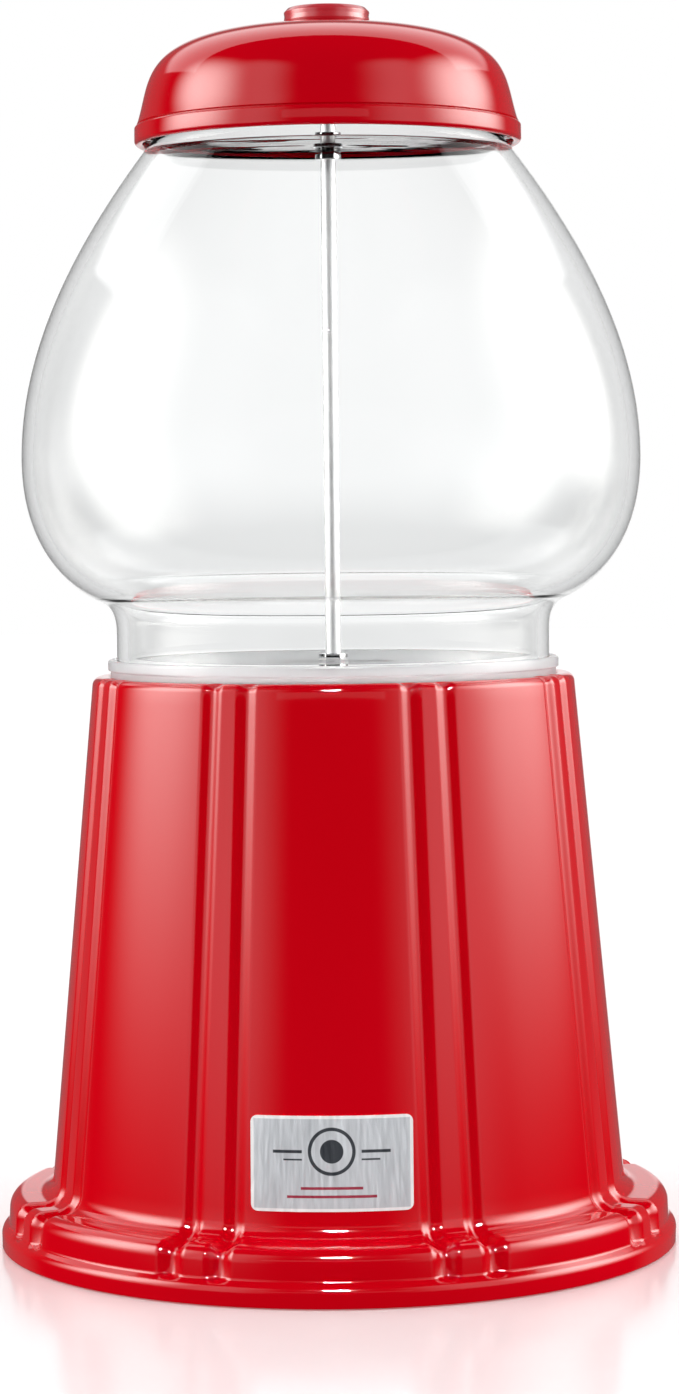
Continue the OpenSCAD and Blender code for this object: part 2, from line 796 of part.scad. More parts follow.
module lid_knob() {
    color(RED) difference() {
        rotate_extrude() polygon(concat(
            [[0, dome_z + 0.4], [knob_r - 0.6, dome_z + 0.4], [knob_r, dome_z + 1]],
            arc([knob_r - 1.6, total_h - 1.6], 1.6, 0, 90, 4), [[0, total_h]]));
        cylinder(r = 4.5, h = dome_z + 3);
    }
}

module knob_insert() {
    color(STEEL) difference() {
        translate([0, 0, dome_z - 5.1]) union() {
            cylinder(r = rod_bore_r - run, h = 5.6);
            translate([0, 0, 5.5]) cylinder(r = 4.5, h = 2.6);
        }
        cylinder(r = rod_r + run, h = 372.4);
    }
}

pedestal();
pedestal_foot();
coin_pad();
chute_hood();
rear_label();
base_plate();
base_screws();
rubber_feet();
bank_plug();
centre_rod();
rod_base_nut();
rod_base_washer();
rod_hub_nut();
rod_hub_washer();
rod_top_nut();
rod_top_washer();
hopper();
hopper_floor();
hopper_screws();
drop_guard();
globe_gasket();
glass_globe();
candy_wheel();
wheel_gear();
gear_screws();
drop_tube();
candy_chute();
chute_bezel();
bezel_screws();
flap_pin();
chute_flap();
coin_face_plate();
face_plate_screws();
coin_housing();
coin_handle();
handle_shaft();
handle_nut();
coin_carrier();
ratchet_wheel();
drive_pinion();
shaft_clip();
pawl();
pawl_pin();
pawl_spring();
lid();
lid_liner();
lid_gasket();
lid_knob();
knob_insert();
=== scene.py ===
"""Looks of the table-top candy dispenser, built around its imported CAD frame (metres, +Z up)."""
import json
import math

import bmesh
import bpy
from mathutils import Matrix, Vector


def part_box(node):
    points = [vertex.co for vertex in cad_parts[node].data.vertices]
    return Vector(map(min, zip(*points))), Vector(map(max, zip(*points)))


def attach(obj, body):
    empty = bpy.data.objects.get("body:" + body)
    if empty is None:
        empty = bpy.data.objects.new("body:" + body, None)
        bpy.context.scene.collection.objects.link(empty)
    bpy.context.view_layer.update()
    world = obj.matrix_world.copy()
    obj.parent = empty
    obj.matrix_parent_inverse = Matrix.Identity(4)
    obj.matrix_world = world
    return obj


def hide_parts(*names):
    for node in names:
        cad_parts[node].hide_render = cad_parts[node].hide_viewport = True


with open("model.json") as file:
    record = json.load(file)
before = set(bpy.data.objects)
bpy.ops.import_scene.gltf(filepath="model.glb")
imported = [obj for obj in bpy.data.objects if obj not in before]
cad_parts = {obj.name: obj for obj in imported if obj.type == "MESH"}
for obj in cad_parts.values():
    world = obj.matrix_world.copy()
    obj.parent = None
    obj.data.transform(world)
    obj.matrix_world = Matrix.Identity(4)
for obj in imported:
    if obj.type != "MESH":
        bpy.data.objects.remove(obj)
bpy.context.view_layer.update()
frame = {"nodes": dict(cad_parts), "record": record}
nodes = frame["nodes"]
scene = bpy.context.scene
MM = 0.001

# ------------------------------------------------------------------ sizes taken from the frame
FOOT_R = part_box("pedestal_foot")[1].x
PEDESTAL_BOTTOM, PEDESTAL_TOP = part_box("pedestal_foot")[0].z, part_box("pedestal")[1].z
RIM_R, RIM_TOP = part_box("hopper")[1].x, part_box("hopper")[1].z
HOPPER_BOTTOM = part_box("hopper_floor")[0].z
GLOBE_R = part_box("glass_globe")[1].x
GLOBE_BOTTOM, GLOBE_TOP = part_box("glass_globe")[0].z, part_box("glass_globe")[1].z
LID_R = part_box("lid")[1].x
LID_BOTTOM, LID_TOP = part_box("lid")[0].z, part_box("lid")[1].z
KNOB_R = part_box("lid_knob")[1].x
KNOB_BOTTOM, KNOB_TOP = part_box("lid_knob")[0].z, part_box("lid_knob")[1].z

# Pedestal wall: radius at the top edge and its growth down the taper
WALL_TOP_R = 74.5 * MM
WALL_TAPER = 0.0923
WALL_THICKNESS = 3.0 * MM
MOUTH_R = 69.3 * MM
STEP_R = 102.7 * MM
STEP_TOP = 17.0 * MM
FLANGE_TOP = 7.0 * MM
REAR, FRONT = 90, 270
FLUTE_OFFSETS = (23, 65.5)
FLUTE_CENTRES = [side + sign * a for side in (REAR, FRONT) for sign in (-1, 1) for a in FLUTE_OFFSETS]
FLUTE_SPLIT = 4.3
GROOVE_HALF, FOOT_GROOVE_HALF = 3.7 * MM, 4.9 * MM
GROOVE_DEPTH, FOOT_GROOVE_DEPTH = 1.25 * MM, 2.3 * MM

SHAFT_Z = (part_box("handle_shaft")[0].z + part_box("handle_shaft")[1].z) / 2
GLASS = 3.5 * MM


def wall_r(z):
    """Outer radius of the pedestal's wall at height z."""
    return WALL_TOP_R + WALL_TAPER * (PEDESTAL_TOP - z)


# ------------------------------------------------------------------ camera
def make_camera():
    """Behind the object at the photograph's angle: it stands at 1.1 m and looks down slightly."""
    distance, height = 1.1048, 0.224
    pitch, roll, azimuth = math.radians(2.85), math.radians(-0.6), math.radians(181.2)
    data = bpy.data.cameras.new("camera")
    data.lens, data.sensor_width = 92.0, 36.0
    camera = bpy.data.objects.new("camera", data)
    scene.collection.objects.link(camera)
    back = Vector((math.sin(azimuth), -math.cos(azimuth), 0))
    forward = (-back * math.cos(pitch) - Vector((0, 0, math.sin(pitch)))).normalized()
    turn = forward.to_track_quat("-Z", "Y").to_matrix()
    camera.rotation_euler = (turn @ Matrix.Rotation(roll, 3, "Z")).to_euler()
    camera.location = back * distance + Vector((-0.0018, 0, height))
    scene.camera = camera


# ------------------------------------------------------------------ materials
class Shader:
    """A node material with one Principled shader and short helpers for its procedural detail."""

    def __init__(self, name):
        self.material = bpy.data.materials.new(name)
        self.material.use_nodes = True
        self.tree = self.material.node_tree
        self.principled = self.tree.nodes["Principled BSDF"]

    def node(self, kind, **values):
        made = self.tree.nodes.new(kind)
        for key, value in values.items():
            if hasattr(made, key):
                setattr(made, key, value)
            else:
                made.inputs[key.replace("_", " ").title()].default_value = value
        return made

    def link(self, source, target):
        self.tree.links.new(source, target)

    def set(self, **values):
        for key, value in values.items():
            self.principled.inputs[key.replace("_", " ")].default_value = value
        return self

    def coords(self, scale=(1, 1, 1)):
        place = self.node("ShaderNodeTexCoord")
        mapping = self.node("ShaderNodeMapping")
        mapping.inputs["Scale"].default_value = scale
        self.link(place.outputs["Object"], mapping.inputs["Vector"])
        return mapping.outputs["Vector"]

    def noise(self, scale, detail=3.0, stretch=(1, 1, 1)):
        made = self.node("ShaderNodeTexNoise", scale=scale, detail=detail)
        self.link(self.coords(stretch), made.inputs["Vector"])
        return made.outputs["Fac"]

    def ramp(self, factor, low, high, start=0.3, end=0.7):
        """Maps a factor to a colour or number between low and high."""
        made = self.node("ShaderNodeValToRGB")
        elements = made.color_ramp.elements
        elements[0].position, elements[1].position = start, end
        pair = [c if hasattr(c, "__len__") else (c, c, c) for c in (low, high)]
        elements[0].color, elements[1].color = (*pair[0], 1), (*pair[1], 1)
        self.link(factor, made.inputs["Fac"])
        return made.outputs["Color"]

    def feed(self, socket, source):
        self.link(source, self.principled.inputs[socket])
        return self

    def bump(self, height, strength, distance):
        made = self.node("ShaderNodeBump")
        made.inputs["Strength"].default_value = strength
        made.inputs["Distance"].default_value = distance
        self.link(height, made.inputs["Height"])
        self.link(made.outputs["Normal"], self.principled.inputs["Normal"])
        return self


def red_enamel(name, red):
    """Deep gloss enamel under a clear coat, with slightly uneven colour and a trace of orange peel."""
    m = Shader(name).set(Roughness=0.35, Specular_IOR_Level=0.0)
    m.set(Coat_Weight=1.0, Coat_Roughness=0.055, Coat_IOR=1.5)
    m.feed("Base Color", m.ramp(m.noise(9, 2), (red, 0.0, 0.0050), (red + 0.035, 0.0, 0.0065)))
    m.feed("Roughness", m.ramp(m.noise(900, 2), 0.30, 0.40))
    return m.bump(m.noise(140, 1), 0.012, 0.0004).material


def knob_enamel():
    """The knob's enamel is a little darker and less even than the castings'."""
    m = Shader("knob_enamel").set(Roughness=0.34, Coat_Weight=0.8, Coat_Roughness=0.06)
    m.feed("Base Color", m.ramp(m.noise(90, 3), (0.42, 0.002, 0.012), (0.50, 0.003, 0.016)))
    return m.bump(m.noise(500, 3), 0.12, 0.0004).material


def clear_glass():
    """Blown glass: faint waviness, absorption that greys its long edge-on paths, and head-on
    reflections held well below real glass so that the side boxes don't show in it."""
    m = Shader("clear_glass").set(Roughness=0.0, IOR=1.48, Transmission_Weight=1.0)
    m.set(Specular_Tint=(0.15, 0.15, 0.15, 1.0))
    m.feed("Base Color", m.ramp(m.noise(6, 1), (0.99, 0.995, 0.995), (1.0, 1.0, 1.0)))
    m.bump(m.noise(16, 1), 0.02, 0.001)
    absorb = m.node("ShaderNodeVolumeAbsorption")
    absorb.inputs["Color"].default_value = (0.87, 0.88, 0.88, 1)
    absorb.inputs["Density"].default_value = 45.0
    m.link(absorb.outputs["Volume"], m.tree.nodes["Material Output"].inputs["Volume"])
    return m.material


def bright_rod():
    """Bright-drawn rod: plated, but satin enough to stay pale where it faces a dark room."""
    m = Shader("bright_rod").set(Metallic=0.55)
    m.feed("Base Color", m.ramp(m.noise(60, 3), (0.86, 0.87, 0.88), (0.94, 0.94, 0.95)))
    m.feed("Roughness", m.ramp(m.noise(500, 3, (1, 1, 0.1)), 0.14, 0.24))
    return m.bump(m.noise(700, 2, (1, 1, 0.1)), 0.03, 0.0003).material


def chrome():
    """Polished plate with very fine wipe marks."""
    m = Shader("chrome_plate").set(Metallic=1.0)
    m.feed("Base Color", m.ramp(m.noise(60, 3), (0.80, 0.81, 0.83), (0.88, 0.88, 0.89)))
    m.feed("Roughness", m.ramp(m.noise(400, 4, (1, 1, 6)), 0.04, 0.11))
    return m.bump(m.noise(500, 2), 0.02, 0.0003).material


def liner_metal():
    """Bright pressed disc, with dark and light pools in its colour that stand for reflections."""
    m = Shader("liner_metal").set(Metallic=1.0)
    pools = m.noise(13, 1, (1, 1.7, 1))
    m.feed("Base Color", m.ramp(pools, (0.05, 0.05, 0.05), (0.72, 0.72, 0.72), 0.46, 0.62))
    m.feed("Roughness", m.ramp(m.noise(300, 3), 0.04, 0.10))
    return m.bump(m.noise(26, 2, (1, 2.2, 1)), 0.35, 0.004).material


def steel(name, colour, rough, grain=(1, 1, 1)):
    """Turned or plated steel, with grain along the stretch."""
    m = Shader(name).set(Metallic=1.0)
    light = tuple(min(1.0, c * 1.18) for c in colour)
    m.feed("Base Color", m.ramp(m.noise(220, 4, grain), colour, light))
    m.feed("Roughness", m.ramp(m.noise(700, 3, grain), rough * 0.8, rough * 1.3))
    return m.bump(m.noise(900, 3, grain), 0.08, 0.0003).material


def translucent_plastic():
    """Milky clear moulding."""
    m = Shader("translucent_plastic").set(IOR=1.49, Transmission_Weight=0.55)
    m.set(Subsurface_Weight=0.35, Subsurface_Radius=(0.01, 0.01, 0.01), Subsurface_Scale=0.4)
    m.feed("Base Color", m.ramp(m.noise(40, 2), (0.90, 0.92, 0.94), (0.96, 0.97, 0.98)))
    m.feed("Roughness", m.ramp(m.noise(300, 3), 0.16, 0.26))
    return m.bump(m.noise(200, 2), 0.05, 0.0004).material


def plastic(name, colour, rough, weight=0.08):
    """Moulded plastic with a fine spark-eroded grain."""
    m = Shader(name)
    dark = tuple(c * 0.88 for c in colour)
    m.feed("Base Color", m.ramp(m.noise(70, 3), dark, colour))
    m.feed("Roughness", m.ramp(m.noise(500, 3), rough * 0.85, min(1.0, rough * 1.2)))
    return m.bump(m.noise(1800, 3), weight, 0.0003).material


MATERIALS = {
    "red_paint": red_enamel("red_enamel", 0.555),
    # The lid's enamel is a darker copy of the castings' red: painted shade that makes the lid stand darker
    # than the pedestal.
    "lid": red_enamel("lid_shaded_enamel", 0.485),
    "knob": knob_enamel(),
    "glass": clear_glass(),
    "chrome": chrome(),
    "liner": liner_metal(),
    "rod": bright_rod(),
    "zinc_steel": steel("zinc_steel", (0.58, 0.58, 0.55), 0.30),
    "dark_steel": steel("dark_steel", (0.10, 0.10, 0.11), 0.38),
    "machined_steel": steel("machined_steel", (0.52, 0.52, 0.53), 0.24, (1, 8, 1)),
    "brass": steel("satin_brass", (0.62, 0.43, 0.17), 0.30),
    "cast_zinc": steel("cast_zinc", (0.42, 0.42, 0.44), 0.46),
    "clear_plastic": translucent_plastic(),
    "white_plastic": plastic("white_plastic", (0.86, 0.86, 0.84), 0.38),
    "seal": plastic("seal_rubber", (0.80, 0.80, 0.78), 0.55),
    "black_rubber": plastic("black_rubber", (0.025, 0.025, 0.026), 0.75, 0.2),
    "black_plastic": plastic("black_plastic", (0.04, 0.04, 0.045), 0.5, 0.15),
}
SLOT_OF = {row["node"]: row["material_slot"] for row in frame["record"]["subparts"]}
BODY_OF = {n: b for b, ns in frame["record"]["behaviour"]["bodies"].items() for n in ns}


# ------------------------------------------------------------------ mesh helpers
def finish_piece(obj, node, material=None, sharp=32.0):
    """Shades the piece, gives it its material and puts it in the CAD node's place."""
    obj.data.shade_smooth()
    obj.data.set_sharp_from_angle(angle=math.radians(sharp))
    obj.data.materials.clear()
    obj.data.materials.append(material or MATERIALS[SLOT_OF[node]])
    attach(obj, BODY_OF[node])
    return obj


def mesh_object(name, verts, faces):
    mesh = bpy.data.meshes.new(name)
    mesh.from_pydata(verts, [], faces)
    bm = bmesh.new()
    bm.from_mesh(mesh)
    bmesh.ops.remove_doubles(bm, verts=bm.verts, dist=1e-7)
    bmesh.ops.recalc_face_normals(bm, faces=bm.faces)
    bm.to_mesh(mesh)
    bm.free()
    obj = bpy.data.objects.new(name, mesh)
    scene.collection.objects.link(obj)
    return obj


def apply_modifiers(obj):
    """Bakes the object's modifiers into its mesh."""
    evaluated = obj.evaluated_get(bpy.context.evaluated_depsgraph_get())
    mesh = bpy.data.meshes.new_from_object(evaluated)
    obj.modifiers.clear()
    old, obj.data = obj.data, mesh
    bpy.data.meshes.remove(old)
    return obj


def boolean(obj, tool, operation):
    """Adds or cuts the tool, which is used up."""
    step = obj.modifiers.new("step", "BOOLEAN")
    step.operation, step.object, step.solver = operation, tool, "EXACT"
    apply_modifiers(obj)
    bpy.data.objects.remove(tool)
    return obj


def rounded(corners, closed=True, steps=6):
    """Outline through corners (r, z, radius): each corner with a radius becomes an arc."""
    out = []
    count = len(corners)
    for i, (r, z, radius) in enumerate(corners):
        here = Vector((r, z))
        if radius <= 0 or (not closed and i in (0, count - 1)):
            out.append((r, z))
            continue
        before = Vector(corners[i - 1][:2]) - here
        after = Vector(corners[(i + 1) % count][:2]) - here
        a, b = before.normalized(), after.normalized()
        half = a.angle(b) / 2
        reach = min(radius / math.tan(half), before.length * 0.49, after.length * 0.49)
        radius = reach * math.tan(half)
        centre = here + (a + b).normalized() * (radius / math.sin(half))
        start, end = here + a * reach - centre, here + b * reach - centre
        turn = start.angle_signed(end)
        for k in range(steps + 1):
            t = -turn * k / steps
            x = start.x * math.cos(t) - start.y * math.sin(t)
            y = start.x * math.sin(t) + start.y * math.cos(t)
            out.append((centre.x + x, centre.y + y))
    return out


def bezier(p0, p1, p2, p3, count):
    out = []
    for i in range(count + 1):
        t = i / count
        k = ((1 - t) ** 3, 3 * t * (1 - t) ** 2, 3 * t * t * (1 - t), t ** 3)
        out.append(tuple(sum(w * p[j] for w, p in zip(k, (p0, p1, p2, p3))) for j in (0, 1)))
    return out


def offset_inwards(outline, distance):
    """The open outline moved to its left-hand side by distance."""
    out = []
    for i, point in enumerate(outline):
        a = Vector(outline[max(i - 1, 0)])
        b = Vector(outline[min(i + 1, len(outline) - 1)])
        d = (b - a).normalized()
        out.append((point[0] - d.y * distance, point[1] + d.x * distance))
    return out


def lathe(name, outline, segments=192):
    """Turns a closed outline of (r, z) points round the Z axis."""
    verts = []
    for i in range(segments):
        a = 2 * math.pi * i / segments
        verts += [(r * math.cos(a), r * math.sin(a), z) for r, z in outline]
    n = len(outline)
    faces = []
    for i in range(segments):
        j = (i + 1) % segments
        for k in range(n):
            m = (k + 1) % n
            faces.append((i * n + k, j * n + k, j * n + m, i * n + m))
    obj = mesh_object(name, verts, faces)
    drop_flat_faces(obj)
    return obj


def drop_flat_faces(obj):
    """Removes the zero-area faces that a closed outline leaves on its axis."""
    bm = bmesh.new()
    bm.from_mesh(obj.data)
    bmesh.ops.dissolve_degenerate(bm, dist=1e-8, edges=bm.edges)
    bmesh.ops.recalc_face_normals(bm, faces=bm.faces)
    bm.to_mesh(obj.data)
    bm.free()


def block(name, low, high, radius=0.0, steps=3):
    """Box between two corners with rounded edges."""
    bm = bmesh.new()
    bmesh.ops.create_cube(bm, size=1.0)
    low, high = Vector(low), Vector(high)
    for v in bm.verts:
        v.co = Vector(((low + high) / 2)[k] + v.co[k] * (high - low)[k] for k in range(3))
    if radius:
        bmesh.ops.bevel(bm, geom=bm.edges, offset=radius, segments=steps, profile=0.5, affect="EDGES")
    mesh = bpy.data.meshes.new(name)
    bm.to_mesh(mesh)
    bm.free()
    obj = bpy.data.objects.new(name, mesh)
    scene.collection.objects.link(obj)
    return obj


def drum(name, radius, y0, y1, x=0.0, z=SHAFT_Z, segments=96):
    """Cylinder along Y."""
    bm = bmesh.new()
    bmesh.ops.create_cone(bm, cap_ends=True, segments=segments, radius1=radius, radius2=radius,
                          depth=abs(y1 - y0))
    bmesh.ops.rotate(bm, verts=bm.verts, matrix=Matrix.Rotation(math.pi / 2, 3, "X"))
    bmesh.ops.translate(bm, verts=bm.verts, vec=(x, (y0 + y1) / 2, z))
    mesh = bpy.data.meshes.new(name)
    bm.to_mesh(mesh)
    bm.free()
    obj = bpy.data.objects.new(name, mesh)
    scene.collection.objects.link(obj)
    return obj


def softened(node, width, segments=2, sharp=32.0, material=None):
    """Copy of a CAD node with its hard edges rounded, which replaces the node."""
    source = nodes[node].data
    bm = bmesh.new()
    bm.from_mesh(source)
    bmesh.ops.remove_doubles(bm, verts=bm.verts, dist=2e-6)
    bmesh.ops.dissolve_limit(bm, angle_limit=math.radians(1.0), verts=bm.verts, edges=bm.edges)
    mesh = bpy.data.meshes.new(node + "_soft")
    bm.to_mesh(mesh)
    bm.free()
    obj = bpy.data.objects.new(node + "_soft", mesh)
    scene.collection.objects.link(obj)
    step = obj.modifiers.new("step", "BEVEL")
    step.width, step.segments, step.limit_method = width, segments, "ANGLE"
    step.angle_limit = math.radians(30)
    apply_modifiers(obj)
    finish_piece(obj, node, material, sharp)
    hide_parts(node)
    return obj


# ------------------------------------------------------------------ pedestal
def flute_angles():
    """Angles round the pedestal: close together across the grooves and wider on the panels."""
    fine, coarse = 0.25, 1.0
    out = []
    angle = 0.0
    while angle < 360.0 - 1e-6:
        out.append(angle)
        near = min(abs((angle - c + 180) % 360 - 180) for c in FLUTE_CENTRES)
        angle += fine if near < 9.5 else coarse
    return out


def groove_depth(angle, radius, foot):
    """How far the surface sinks at this angle, for the two grooves of each flute: smooth waves in
    the wall (foot 0), and rounder, deeper ones in the stepped foot (foot 1)."""
    half = GROOVE_HALF + (FOOT_GROOVE_HALF - GROOVE_HALF) * foot
    deep = GROOVE_DEPTH + (FOOT_GROOVE_DEPTH - GROOVE_DEPTH) * foot
    depth = 0.0
    for centre in FLUTE_CENTRES:
        for side in (-1, 1):
            away = (angle - centre - side * FLUTE_SPLIT + 180) % 360 - 180
            reach = abs(math.radians(away)) * radius / half
            if reach < 1.0:
                depth += deep * (0.5 + 0.5 * math.cos(math.pi * reach))
    return min(depth, deep)


def pedestal_outline():
    """Closed outline, outside first, then the inside with its shelf."""
    fillet = 5.0 * MM
    step_wall = wall_r(STEP_TOP)
    outer = rounded([
        (MOUTH_R + 27 * MM, PEDESTAL_BOTTOM, 0),
        (FOOT_R, PEDESTAL_BOTTOM, 0.8 * MM),
        (FOOT_R, 5.6 * MM, 3.0 * MM),
        (STEP_R, FLANGE_TOP + 0.7 * MM, 1.4 * MM),
        (STEP_R - 0.5 * MM, STEP_TOP, 4.7 * MM),
        (step_wall, STEP_TOP, fillet),
        (wall_r(PEDESTAL_TOP), PEDESTAL_TOP, 3.6 * MM),
        (MOUTH_R, PEDESTAL_TOP, 0.8 * MM),
        (MOUTH_R, PEDESTAL_TOP - 5 * MM, 0)], closed=False, steps=12)
    dense = []
    for a, b in zip(outer, outer[1:]):
        length = math.hypot(b[0] - a[0], b[1] - a[1])
        pieces = max(1, int(length / (4 * MM)))
        dense += [(a[0] + (b[0] - a[0]) * k / pieces, a[1] + (b[1] - a[1]) * k / pieces)
                  for k in range(pieces)]
    dense.append(outer[-1])
    shelf = [(MOUTH_R - 6.7 * MM, PEDESTAL_TOP - 5.4 * MM), (MOUTH_R - 6.7 * MM, PEDESTAL_TOP - 9.4 * MM),
             (wall_r(PEDESTAL_TOP) - 6 * MM, PEDESTAL_TOP - 9.4 * MM),
             (wall_r(PEDESTAL_TOP) - WALL_THICKNESS, PEDESTAL_TOP - 14 * MM),
             (wall_r(STEP_TOP) - WALL_THICKNESS, STEP_TOP),
             (wall_r(STEP_TOP) - 5 * MM, STEP_TOP - 5 * MM),
             (wall_r(STEP_TOP) - 5 * MM, 5.0 * MM), (MOUTH_R + 25.1 * MM, 5.0 * MM),
             (MOUTH_R + 25.1 * MM, PEDESTAL_BOTTOM)]
    return dense, shelf


def groove_weight(r, z):
    """Grooves start above the bottom flange and fade out across the top edge."""
    rise = min(1.0, max(0.0, (z - FLANGE_TOP + 0.6 * MM) / (2.6 * MM)))
    rise *= rise * (3.0 - 2.0 * rise)
    if z > PEDESTAL_TOP - 1.0 * MM:
        rise *= min(1.0, max(0.0, (r - MOUTH_R - 0.5 * MM) / (2.2 * MM)))
    return rise


def make_pedestal():
    """One casting: fluted wall, stepped foot and flange, with the pads of the coin side."""
    outer, inner = pedestal_outline()
    angles = flute_angles()
    ring = outer + inner
    normals = []
    for i in range(len(outer)):
        a = Vector(outer[max(i - 1, 0)])
        b = Vector(outer[min(i + 1, len(outer) - 1)])
        d = (b - a).normalized()
        normals.append((d.y, -d.x))
    verts = []
    for angle in angles:
        c, s = math.cos(math.radians(angle)), math.sin(math.radians(angle))
        for i, (r, z) in enumerate(ring):
            if i < len(outer):
                foot = min(1.0, max(0.0, (r - wall_r(STEP_TOP) - 1.5 * MM) / (4.0 * MM)))
                sink = groove_depth(angle, r, foot) * groove_weight(r, z)
                r, z = r - normals[i][0] * sink, z - normals[i][1] * sink
            verts.append((r * c, r * s, z))
    n, m = len(ring), len(angles)
    faces = [(i * n + k, (i + 1) % m * n + k, (i + 1) % m * n + (k + 1) % n, i * n + (k + 1) % n)
             for i in range(m) for k in range(n)]
    body = mesh_object("pedestal_casting", verts, faces)
    add_front_pads(body)
    finish_piece(body, "pedestal", sharp=38)
    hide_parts("pedestal", "pedestal_foot", "coin_pad", "chute_hood")


def add_front_pads(body):
    """Pads for the coin mechanism and the chute, with their openings cut through the wall."""
    core = lathe("core", [(0, -0.01), (wall_r(-0.01) - 2 * MM, -0.01), (wall_r(0.2) - 2 * MM, 0.2), (0, 0.2)])
    plate_low, plate_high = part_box("coin_face_plate")
    pad_y = plate_high.y
    pad_half = plate_high.x + 2 * MM
    upper = block("upper_pad", (-pad_half, pad_y, plate_low.z - 6 * MM),
                  (pad_half, pad_y + 30 * MM, plate_high.z + 4 * MM), 2.5 * MM, 4)
    bezel_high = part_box("chute_bezel")[1]
    hood_y = bezel_high.y
    hood_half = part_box("chute_hood")[1].x
    lower = block("lower_pad", (-hood_half, hood_y, STEP_TOP - 2 * MM),
                  (hood_half, hood_y + 30 * MM, bezel_high.z + 1 * MM), 2.0 * MM, 4)
    boolean(upper, lower, "UNION")
    boolean(upper, core, "DIFFERENCE")
    boolean(body, upper, "UNION")
    half = 21.4 * MM
    boolean(body, block("mouth", (-half, -0.11, 23.6 * MM), (half, -0.06, 58.4 * MM)), "DIFFERENCE")
    bore = (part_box("coin_housing")[1].x + 0.1 * MM)
    boolean(body, drum("bore", bore, -0.05, -0.1), "DIFFERENCE")
    slot_half = 13.0 * MM
    boolean(body, block("slot", (-slot_half, -81 * MM, SHAFT_Z), (slot_half, -78.4 * MM, 0.18)), "DIFFERENCE")


# ------------------------------------------------------------------ globe, hopper and lid
def make_globe():
    """Thick-walled glass: straight neck, hollow shoulder and a pear-shaped belly."""
    neck_r, shoulder_r = 67.0 * MM, 73.0 * MM
    neck_top, shoulder_z, belly_z = 190 * MM, 200 * MM, 243 * MM
    top_r = 55.5 * MM
    outer = [(neck_r, GLOBE_BOTTOM + 1.2 * MM), (neck_r, GLOBE_BOTTOM + 6 * MM)]
    outer += bezier((neck_r, neck_top), (neck_r, 196 * MM), (69 * MM, 198.4 * MM),
                    (shoulder_r, shoulder_z), 12)
    outer += bezier((shoulder_r, shoulder_z), (86.4 * MM, 206.9 * MM), (GLOBE_R, 221.4 * MM),
                    (GLOBE_R, belly_z), 32)[1:]
    outer += bezier((GLOBE_R, belly_z), (GLOBE_R, 279.5 * MM), (75.7 * MM, 312.5 * MM),
                    (top_r, GLOBE_TOP - 1.5 * MM), 44)[1:]
    inner = offset_inwards(outer, GLASS)
    lip_top = [(top_r - 0.7 * MM, GLOBE_TOP - 0.4 * MM), (top_r - 1.6 * MM, GLOBE_TOP),
               (top_r - GLASS + 0.6 * MM, GLOBE_TOP - 0.1 * MM)]
    lip_bottom = [(neck_r - GLASS + 0.4 * MM, GLOBE_BOTTOM + 0.3 * MM), (neck_r - GLASS / 2, GLOBE_BOTTOM),
                  (neck_r - 0.4 * MM, GLOBE_BOTTOM + 0.3 * MM)]
    obj = lathe("globe_glass", outer + lip_top + inner[::-1] + lip_bottom, 256)
    finish_piece(obj, "glass_globe", sharp=60)
    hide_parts("glass_globe")


def make_hopper():
    """Milky hopper: the rim that the globe stands in, the funnel and the wheel's floor."""
    body_r = MOUTH_R - 0.3 * MM
    seat_z, shelf_z, floor_top = 174.5 * MM, 171 * MM, HOPPER_BOTTOM + 3 * MM
    neck_wall, bowl_r, hub_r = 67.5 * MM, 56.2 * MM, 9.0 * MM
    outline = rounded([
        (hub_r, HOPPER_BOTTOM, 0.2 * MM), (59 * MM, HOPPER_BOTTOM, 1.5 * MM), (59 * MM, 160 * MM, 3 * MM),
        (61.9 * MM, 167 * MM, 1 * MM), (61.9 * MM, shelf_z, 0.5 * MM), (body_r, shelf_z, 0.5 * MM),
        (body_r, 178.0 * MM, 0.5 * MM), (RIM_R, 178.3 * MM, 0.5 * MM), (RIM_R, RIM_TOP, 0.9 * MM),
        (neck_wall + 0.2 * MM, RIM_TOP, 0.5 * MM), (neck_wall, seat_z, 0.3 * MM),
        (61 * MM, seat_z, 0.6 * MM), (bowl_r, 164 * MM, 2 * MM), (bowl_r, floor_top, 1.0 * MM),
        (hub_r, floor_top, 0.3 * MM)])
    obj = lathe("hopper_moulding", outline, 224)
    drop_x, drop_y = 41 * MM * math.cos(math.radians(-64)), 41 * MM * math.sin(math.radians(-64))
    hole = lathe("hole", [(0, 0.14), (12 * MM, 0.14), (12 * MM, 0.152), (0, 0.152)], 64)
    hole.data.transform(Matrix.Translation((drop_x, drop_y, 0)))
    boolean(obj, hole, "DIFFERENCE")
    finish_piece(obj, "hopper", sharp=40)
    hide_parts("hopper", "hopper_floor")


def make_lid():
    """Domed cap with a raised band round its rim, a fine seam above it and a rolled bottom edge.
    It is closed over the axis, where the CAD lid has its bore."""
    band_top = LID_BOTTOM + 5.7 * MM
    side_r, skin = 58.8 * MM, 2.0 * MM
    seam = 0.7 * MM
    dome = bezier((side_r, band_top + seam), (side_r - 5.3 * MM, 361 * MM), (side_r + 1.2 * MM, LID_TOP),
                  (0, LID_TOP), 56)
    band = rounded([
        (56.8 * MM, LID_BOTTOM + 6 * MM, 0), (56.8 * MM, LID_BOTTOM, 1.2 * MM),
        (LID_R, LID_BOTTOM, 1.3 * MM), (LID_R, band_top, 0.8 * MM),
        (side_r - seam, band_top + 0.1 * MM, 0.2 * MM), (side_r, band_top + seam, 0)], closed=False)
    inside = offset_inwards(dome, skin)
    inside = [(max(r, 0.0), z) for r, z in inside if z > LID_BOTTOM + 7 * MM]
    inside[-1] = (0.0, LID_TOP - skin)
    obj = lathe("lid_shell", band[:-1] + dome + inside[::-1], 256)
    finish_piece(obj, "lid", MATERIALS["lid"], sharp=50)
    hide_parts("lid")


